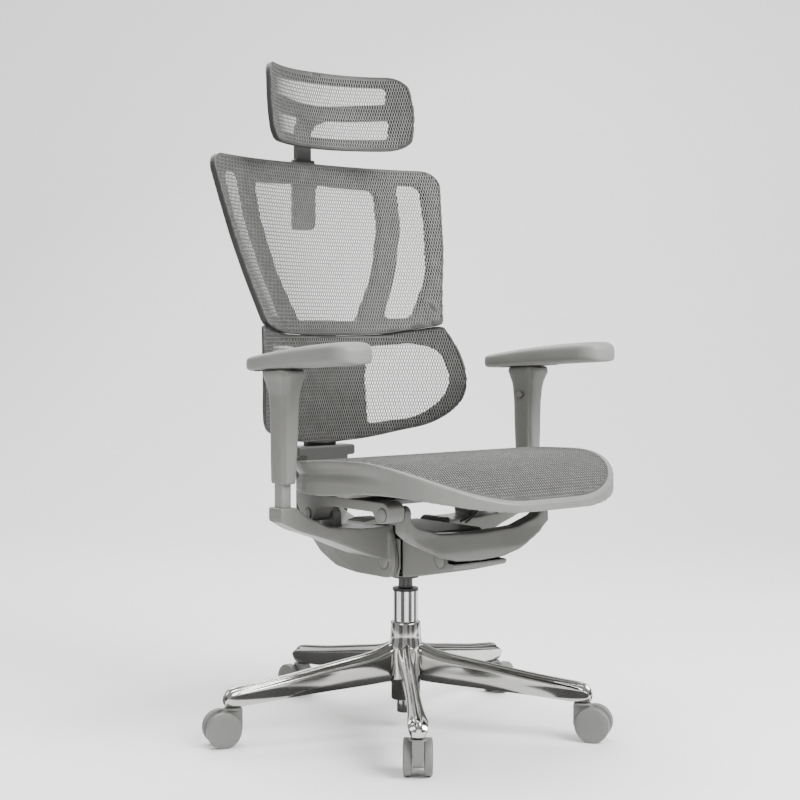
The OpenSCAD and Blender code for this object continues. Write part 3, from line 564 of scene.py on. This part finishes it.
def leg_sections():
    """Ring by ring outline of one leg: its reach, half width, top and bottom, in millimetres."""
    top = [(22, 178), (40, 169), (60, 160.5), (90, 154), (130, 147.5), (180, 138.5), (230, 129.5),
           (275, 123), (302, 119.5), (318, 117.5), (330, 114.5), (337, 109), (341, 101)]
    half = [19, 17, 15.6, 14.2, 13, 12, 12.4, 14, 16.4, 17.6, 17.4, 15.8, 12.5]
    low = [104, 102, 100.5, 98, 95.6, 92, 88.2, 84.5, 82.2, 81.6, 81.6, 82.4, 86]
    return [(r, h, t, b) for (r, t), h, b in zip(top, half, low)]


def leg_ring(r, half, top, low):
    """One cross-section of a leg: a narrow ridge on sloping shoulders, tapering to the underside."""
    d = top - low
    side = [(0, top), (3.2, top - 0.3), (4.6, top - 2.2), (5.6, top - 5.4), (half * 0.72, top - 7.2),
            (half * 0.97, top - 10.5), (half, top - 0.33 * d), (half * 0.9, top - 0.66 * d),
            (half * 0.74, low + 4), (half * 0.6, low + 0.4), (0, low)]
    pts = side + [(-x, z) for x, z in reversed(side[1:-1])]
    return [Vector((r / 1000, x / 1000, mm(z))) for x, z in pts]


def base():
    """The five-legged star and its hub."""
    verts, faces = [], []
    for i in range(5):
        turn = Matrix.Rotation(leg_angle(i), 4, "Z")
        rings = [leg_ring(*s) for s in leg_sections()]
        n, at = len(rings[0]), len(verts)
        for ring in rings:
            verts += [turn @ p for p in ring]
        for j in range(len(rings) - 1):
            for k in range(n):
                m = (k + 1) % n
                a, b = at + j * n, at + (j + 1) * n
                faces.append((a + k, a + m, b + m, b + k))
        faces.append(tuple(at + k for k in range(n)))
        faces.append(tuple(at + (len(rings) - 1) * n + k for k in reversed(range(n))))
    legs = add("base_star_legs", verts, faces, ALUMINIUM)
    subdivide(legs)
    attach(legs, "base")
    hub = lathe("base_star_hub", [(0.0223, mm(70)), (0.0245, mm(69)), (0.0262, mm(71)),
                                  (0.0268, mm(98)), (0.0305, mm(104)), (0.0312, mm(112)),
                                  (0.0312, mm(160)), (0.0302, mm(170)), (0.0282, mm(180)),
                                  (0.0276, mm(186)), (0.0272, mm(207)), (0.0262, mm(210.5)),
                                  (0.0245, mm(211.6)), (0.0228, mm(211.8)), (0.0222, mm(211)),
                                  (0.0222, mm(72)), (0.0223, mm(70))],
                ALUMINIUM, "base", steps=96)
    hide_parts("base_star")
    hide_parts("base_star")


# ---------- castors ----------

CASTOR_TURN = (0, -1.5, 176, -3, 0)    # how each castor is turned from its leg, in degrees
STEM_REACH, TRAIL = 0.324, 0.02        # from the swivel axis to a stem, and from the stem to the axle
WHEEL_R = 0.031


def castors():
    """Each castor's hood, twin wheels and axle."""
    for i in range(1, 6):
        a = leg_angle(i - 1)
        f = a + math.radians(CASTOR_TURN[i - 1])
        axle = Vector((STEM_REACH * math.cos(a) + TRAIL * math.cos(f),
                       STEM_REACH * math.sin(a) + TRAIL * math.sin(f), WHEEL_R))
        side = Vector((-math.sin(f), math.cos(f), 0))
        soften(f"castor_fork_{i}", f"castor_hood_{i}", CASTOR, f"castor_swivel_{i}",
               0.0012, 5)
        discs = []
        for k, s in enumerate((1, -1)):
            w = lathe(f"castor_wheel_{i}_{'ab'[k]}",
                      [(0.004, 0.0), (0.0295, 0.0), (0.0306, 0.0006), (WHEEL_R, 0.002),
                       (WHEEL_R, 0.0112), (0.0308, 0.0126), (0.0302, 0.0135), (0.0293, 0.0139),
                       (0.0288, 0.0137), (0.0284, 0.0139), (0.0270, 0.0144), (0.0200, 0.0149),
                       (0.0100, 0.0151), (0.0, 0.0152)],
                      TREAD, f"castor_roll_{i}",
                      towards(axle + side * s * 0.0098, side * s), steps=72)
            discs.append(w)
        axle_rod = lathe(f"castor_axle_{i}",
                         [(0.0, -0.02), (0.0039, -0.02), (0.0039, 0.02), (0.0, 0.02)],
                         STEEL, f"castor_roll_{i}", towards(axle, side), steps=24)
        for w in discs + [axle_rod]:
            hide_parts(f"castor_wheels_{i}")


# ---------- seat ----------

PAINTED_SHADE_SHEET_DEPTH = 2.9             # the painted shade sheet, under the seat's surface, in millimetres


def painted_shade_sheet(plan):
    """A near-black sheet just under the weave: painted shade for the dark space under the seat seen
    through the holes.
    """
    steps = 40
    us, vs = np.linspace(-248, 248, steps), np.linspace(-376, 92, steps)
    grid = np.array([(u, v) for v in vs for u in us])
    off = ~inside(plan, grid)
    grid[off] = nearest(plan, grid[off])
    faces = [(j * steps + i, j * steps + i + 1, (j + 1) * steps + i + 1, (j + 1) * steps + i)
             for j in range(steps - 1) for i in range(steps - 1)
             if not off[[j * steps + i, j * steps + i + 1, (j + 1) * steps + i + 1,
                         (j + 1) * steps + i]].all()]
    # The sheet is near black: painted shade under the seat weave.
    piece = add("seat_painted_shade_sheet", on_seat(grid[:, 0], grid[:, 1], PAINTED_SHADE_SHEET_DEPTH), faces, PAINTED_SHADE_SLIT)
    drop_loose(piece)
    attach(piece, "seat")
    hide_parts("seat_mesh")
    cut_area(plan)


def hollow_side(rim):
    """Presses a shallow groove along the sides of the rim, under a bead at its top edge."""
    n = len(rim.data.vertices)
    co = np.empty(3 * n)
    rim.data.vertices.foreach_get("co", co)
    co = co.reshape(n, 3)
    plan = co[:, :2] * 1000
    edge = nearest(resample(SEAT_OUTLINE, 6), plan)
    gap = edge - plan
    dist = np.linalg.norm(gap, axis=1)
    below = seat_top(plan[:, 1]) - FLOOR_Z * 1000 - co[:, 2] * 1000
    fade = np.clip((plan[:, 1] + 270) / 130, 0, 1) * np.clip(1 - dist / 12, 0, 1)
    depth = (8.5 * np.exp(-((below - 23) / 9.5) ** 2) + 3.0 * np.clip((below - 28) / 14, 0, 1)) * fade
    centre = np.array([0.0, -140.0])
    inward = centre - plan
    inward /= np.maximum(np.linalg.norm(inward, axis=1), 1)[:, None]
    co[:, :2] += inward * depth[:, None] / 1000
    rim.data.vertices.foreach_set("co", co.ravel())
    rim.data.update()


def seat():
    """The rim, the woven cloth with a near-black sheet under it as painted shade, and the cord round it.
    """
    rim = soften("seat_frame", "seat_rim", GREY, "seat", 0.0022, 5)
    hollow_side(rim)
    plan = inset(resample(SEAT_OUTLINE, 6), 9.5)
    piece = net("seat_weave", plan, lambda p: p, lambda p, t: on_seat(p[:, 0], p[:, 1], t),
                (-256, 256, -386, 101), SEAT_WEAVE, "seat", SEAT_THREAD, thick=1.4)
    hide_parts("seat_mesh")
    cut_area(plan)
    painted_shade_sheet(plan)
    loop = resample(inset(resample(SEAT_OUTLINE, 6), 10.5), 7)
    edge_tube("seat_edge_cord", on_seat(loop[:, 0], loop[:, 1], SEAT_CORD_DEPTH), SEAT_CORD_R, "seat")


# ---------- back, lumbar, headrest ----------

def backs():
    """The frames, nets and bound edges of the upper back, lumbar panel and headrest."""
    back = soften("upper_back_frame", "upper_back_moulding", FRAME, "back", 0.0022, 5)
    panel_net("upper_back_weave", "back", BACK_OUTLINE, "upper_back_mesh")
    lumbar = soften("lumbar_frame", "lumbar_moulding", FRAME, "lumbar", 0.0022, 5)
    panel_net("lumbar_weave", "lumbar", LUMBAR_OUTLINE, "lumbar_mesh")
    headrest = soften("headrest_frame", "headrest_moulding", FRAME, "headrest",
                      0.0018, 5)
    panel_net("headrest_weave", "headrest", HEADREST_OUTLINE, "headrest_mesh")
    for name, kind, outline in (("upper_back_edge", "back", BACK_OUTLINE),
                                ("lumbar_edge", "lumbar", LUMBAR_OUTLINE),
                                ("headrest_edge", "headrest", HEADREST_OUTLINE)):
        loop = resample(inset(resample(outline, 5), 1.2), 6)
        edge_tube(name, on_panel(kind, loop[:, 0], loop[:, 1], EDGE_DEPTH), EDGE_R, kind)


# ---------- arms ----------

def pad_ring(s, half, middle, top, low, n=28):
    """One cross-section of an arm pad: a crowned top, full sides and a flatter underside."""
    ring = []
    h = (top - low) / 2
    for i in range(n):
        a = 2 * math.pi * i / n
        c, d = math.cos(a), math.sin(a)
        power = 0.62 if d > 0 else 0.42
        x = middle + half * math.copysign(abs(c) ** (0.55 if d > 0 else 0.5), c)
        ring.append(Vector((x, s, low + h + h * math.copysign(abs(d) ** power, d))) / 1000)
    return ring


PAD_HALF = 150                   # half the length of an arm pad, in millimetres


def arm_rest(side, k):
    """The soft pad, lofted from rear to front in the frame of the arm's tipped top."""
    place = (Matrix.Scale(k, 4, (1, 0, 0)) @ Matrix.Translation((0.287, -0.023, mm(666)))
             @ Matrix.Rotation(math.radians(-2.9), 4, "X") @ Matrix.Rotation(math.radians(1.5), 4, "Z")
             @ Matrix.Translation((-0.010, -0.058, 0)))
    rings = []
    for s in (PAD_HALF, 149.2, 147, 143, 137, 128, 116, 100, 70, 35, 0, -40, -80, -105, -118, -129,
              -137, -143, -147, -149.2, -PAD_HALF):
        t = abs(s) / PAD_HALF
        corner = (1 - max(0.0, (abs(s) - 105) / 45) ** 2.3) ** (1 / 2.3)
        waist = 1.2 * math.sin(math.pi * s / PAD_HALF)
        half = (38.5 + 5.0 * (0.5 - s / 300)) * (0.14 + 0.86 * corner) - waist
        top = np.interp(s, [-PAD_HALF, -60, 30, PAD_HALF], [43.5, 43.4, 40.0, 31.0])
        nose = 21 if s < 0 else 11
        drop = (1 - max(0.0, (abs(s) - PAD_HALF + nose) / nose) ** 2.2) ** (1 / 2.2)
        depth = (top - 6) * (0.4 + 0.6 * drop)
        low = 6 + (top - 6 - depth) * (0.12 if s < 0 else 0.4)
        rings.append([place @ p for p in pad_ring(s, half, -1.5 + 3 * t * t, low + depth, low)])
    n = len(rings[0])
    verts = [p for ring in rings for p in ring]
    faces = [(j * n + i, j * n + (i + 1) % n, (j + 1) * n + (i + 1) % n, (j + 1) * n + i)
             for j in range(len(rings) - 1) for i in range(n)]
    faces += [tuple(range(n))[::-1], tuple((len(rings) - 1) * n + i for i in range(n))]
    pad = add(f"arm_rest_{side}", verts, faces, PAD)
    subdivide(pad)
    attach(pad, f"arm_pad_{side}")
    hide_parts(f"arm_pad_{side}")


def round_post(post, power=3.2, band=0.004, deeper=(1.0, 1.22)):
    """Rounds the cross-section of an upright post, height by height, and makes it deeper."""
    n = len(post.data.vertices)
    co = np.empty(3 * n)
    post.data.vertices.foreach_get("co", co)
    co = co.reshape(n, 3)
    level = ((co[:, 2] - co[:, 2].min()) / band).astype(int)
    levels = np.arange(level.max() + 1)
    at = levels * band + band / 2 + co[:, 2].min()
    ends = np.array([[f(co[level == i, k]) for f in (np.min, np.max) for k in (0, 1)]
                     for i in levels])
    low, high = (np.column_stack([np.interp(co[:, 2], at, ends[:, j]) for j in pair])
                 for pair in ((0, 1), (2, 3)))
    middle, half = (low + high) / 2, (high - low) / 2
    place = np.abs((co[:, :2] - middle) / half)
    reach = place.max(axis=1)
    squeeze = reach / np.maximum((place ** power).sum(axis=1) ** (1 / power), 1e-6)
    outer = np.clip((reach - 0.78) / 0.16, 0, 1)[:, None]
    co[:, :2] += (middle + (co[:, :2] - middle) * squeeze[:, None] * deeper - co[:, :2]) * outer
    post.data.vertices.foreach_set("co", co.ravel())
    post.data.update()


def arms():
    """Each arm's pad, post, column, button and swivel plate."""
    for side, k in SIDES:
        arm_rest(side, k)
        post = soften(f"arm_sleeve_{side}", f"arm_post_{side}", GREY, f"arm_sleeve_{side}",
                      0.0022, 16)
        round_post(post)
        finish_cad(f"arm_column_{side}", GREY)
        finish_cad(f"arm_button_{side}", GREY, 0.001)
        finish_cad(f"arm_swivel_plate_{side}", DARK)


# ---------- mechanism ----------

def cap(name, point, axis, r, h, body):
    """A flush pivot cap, of radius r and standing h proud, ringed by a black band that is painted shade
    for a narrow gap.
    """
    place = towards(point, axis)
    profile = [(r, -0.002), (r, h * 0.5), (r - 0.0003, h * 0.85), (r - 0.001, h), (0.0, h * 1.04)]
    lathe(name, profile, CAST, body, place)
    # The black ring is painted shade where the gap round the cap would be.
    lathe(name + "_painted_shade_ring", [(r - 0.0004, -0.001), (r + 0.0009, -0.001), (r + 0.0009, 0.0007),
                          (r - 0.0004, 0.0007), (r - 0.0004, -0.001)],
          BLACK, body, place)


def mechanism():
    """The castings and covers under the seat, the gas lift, the spine and the pivot caps."""
    soften("front_yoke", "front_yoke_casting", CAST, "front_yoke", 0.0018, 26)
    soften("back_lever", "back_lever_casting", CAST, "recline", 0.002, 6)
    soften("seat_carriage", "seat_carriage_moulding", GREY, "seat_carriage", 0.0018, 5)
    soften("mechanism_front_cover", "front_cover_moulding", GREY, "mechanism",
           0.0014, 5)
    soften("mechanism_rear_cover", "rear_cover_moulding", GREY, "recline", 0.0014, 5)
    soften("back_upright", "back_upright_moulding", DARK, "recline", 0.0018, 5)
    for lever in ("seat_depth_lever", "seat_height_lever", "tilt_lock_lever"):
        soften(lever, lever + "_paddle", GREY, lever, 0.0009, 4)
    finish_cad("mechanism_housing", DARK)
    for node, mat in (("main_pivot_shaft", STEEL), ("front_pivot_shaft", GREY), ("tilt_springs", STEEL),
                      ("carriage_pivot_pins", STEEL), ("gas_valve_pin", STEEL), ("valve_lever", STEEL),
                      ("gas_lift_outer_tube", CHROME), ("gas_lift_bushing", BLACK),
                      ("gas_lift_rod", STEEL), ("gas_lift_clip", PAINT),
                      ("gas_lift_thrust_bearing", STEEL), ("gas_lift_cylinder", PAINT),
                      ("control_cables", CABLE), ("lumbar_guide_pins", STEEL),
                      ("headrest_hinge_pin", STEEL)):
        finish_cad(node, mat, 0.0 if node in ("tilt_springs", "control_cables") else 0.0006)
    for node in ("back_spine", "headrest_bracket", "headrest_stem"):
        finish_cad(node, DARK, 0.0015)
    for side, k in SIDES:
        out = (k, 0, 0)
        cap(f"front_seat_cap_{side}", (k * 0.204, -0.187, mm(435)), out, 0.0108, 0.0018, "seat_carriage")
        cap(f"rear_seat_cap_{side}", (k * 0.204, 0.02, mm(420)), out, 0.0095, 0.0016, "seat_carriage")
        cap(f"main_pivot_cap_{side}", (k * 0.0762, -0.031, mm(330)), out, 0.0132, 0.0014, "mechanism")
        cap(f"front_pivot_cap_{side}", (k * 0.0630, -0.168, mm(346)), out, 0.0132, 0.0014, "mechanism")


# ---------- studio ----------

def reflect_only(flag):
    """A dark studio card that is only seen in reflections."""
    bpy.context.scene.collection.objects.link(flag)
    flag.visible_camera = False
    flag.visible_diffuse = False
    flag.visible_shadow = False


def studio():
    """A pale paper sweep, four soft lights, and dark cards for the polished metal to reflect."""
    profile = [(-6.0, 0.0), (2.6, 0.0)]
    for i in range(1, 13):
        a = math.radians(90 * i / 12)
        profile.append((2.6 + 1.6 * math.sin(a), 1.6 - 1.6 * math.cos(a)))
    profile.append((4.2, 6.0))
    turn = Matrix.Rotation(math.radians(-39.4), 4, "Z")
    verts = [turn @ Vector((x, y, z)) for y, z in profile for x in (-8, 8)]
    faces = [(2 * i, 2 * i + 1, 2 * i + 3, 2 * i + 2) for i in range(len(profile) - 1)]
    pale = material("studio_paper", (0.86, 0.86, 0.855), (0.88, 0.88, 0.875), (0.8, 0.9), grain=200,
                    bump=0.02, patch=0.5)
    mesh = bpy.data.meshes.new("studio_floor")
    mesh.from_pydata([tuple(v) for v in verts], [], faces)
    mesh.polygons.foreach_set("use_smooth", [True] * len(mesh.polygons))
    mesh.materials.append(pale)
    floor = bpy.data.objects.new("studio_floor", mesh)
    bpy.context.scene.collection.objects.link(floor)
    world = bpy.data.worlds.new("studio")
    world.use_nodes = True
    world.node_tree.nodes["Background"].inputs[0].default_value = (1.0, 1.0, 0.995, 1)
    world.node_tree.nodes["Background"].inputs[1].default_value = 0.5
    bpy.context.scene.world = world
    for name, where, size, power in (("key", (0.7, -3.0, 2.9), (2.4, 1.8), 330),
                                     ("fill", (-3.0, -0.9, 2.2), (1.4, 2.2), 40),
                                     ("top", (0.0, 0.3, 3.9), (2.6, 2.6), 190),
                                     ("back", (0.9, 3.0, 3.0), (3.0, 1.4), 90)):
        data = bpy.data.lights.new(name, "AREA")
        data.shape = "RECTANGLE"
        data.size, data.size_y = size
        data.energy = power
        light = bpy.data.objects.new(name, data)
        light.location = where
        light.rotation_euler = (Vector((0, 0, 0.6)) - Vector(where)).to_track_quat("-Z", "Y").to_euler()
        bpy.context.scene.collection.objects.link(light)
    felt = material("studio_flag", (0.035, 0.035, 0.035), (0.06, 0.06, 0.06), (0.9, 1.0), grain=200,
                    bump=0.02, patch=2)
    for i, (azimuth, reach, width, top) in enumerate(((-75, 2.6, 1.3, 1.1), (-18, 2.9, 0.9, 0.9),
                                                      (20, 2.4, 1.1, 1.2), (75, 2.7, 1.6, 1.0),
                                                      (120, 2.6, 1.3, 1.2), (165, 2.8, 1.3, 0.9),
                                                      (215, 2.6, 1.5, 1.1))):
        card = bpy.data.meshes.new(f"studio_flag_{i}")
        turn = Matrix.Rotation(math.radians(azimuth), 4, "Z") @ Matrix.Translation((0, -reach, 0))
        corners = [(x, 0, z) for x, z in ((-width / 2, 0.02), (width / 2, 0.02),
                                          (width / 2, top), (-width / 2, top))]
        card.from_pydata([tuple(turn @ Vector(c)) for c in corners], [], [(0, 1, 2, 3)])
        card.materials.append(felt)
        reflect_only(bpy.data.objects.new(f"studio_flag_{i}", card))
    for i, (start, end, near, far) in enumerate(((0, 359, 0.03, 0.2), (186, 221, 0.2, 1.9),
                                                 (258, 292, 0.26, 1.9), (318, 350, 0.2, 1.9),
                                                 (15, 60, 0.2, 1.9), (95, 140, 0.2, 1.9))):
        arc = [math.radians(start + (end - start) * k / 24) for k in range(25)]
        verts = [(r * math.cos(a), r * math.sin(a), 0.002) for a in arc for r in (near, far)]
        card = bpy.data.meshes.new(f"studio_ground_flag_{i}")
        card.from_pydata(verts, [], [(2 * k, 2 * k + 1, 2 * k + 3, 2 * k + 2) for k in range(24)])
        card.materials.append(felt)
        reflect_only(bpy.data.objects.new(f"studio_ground_flag_{i}", card))


studio()
base()
castors()
seat()
backs()
arms()
mechanism()
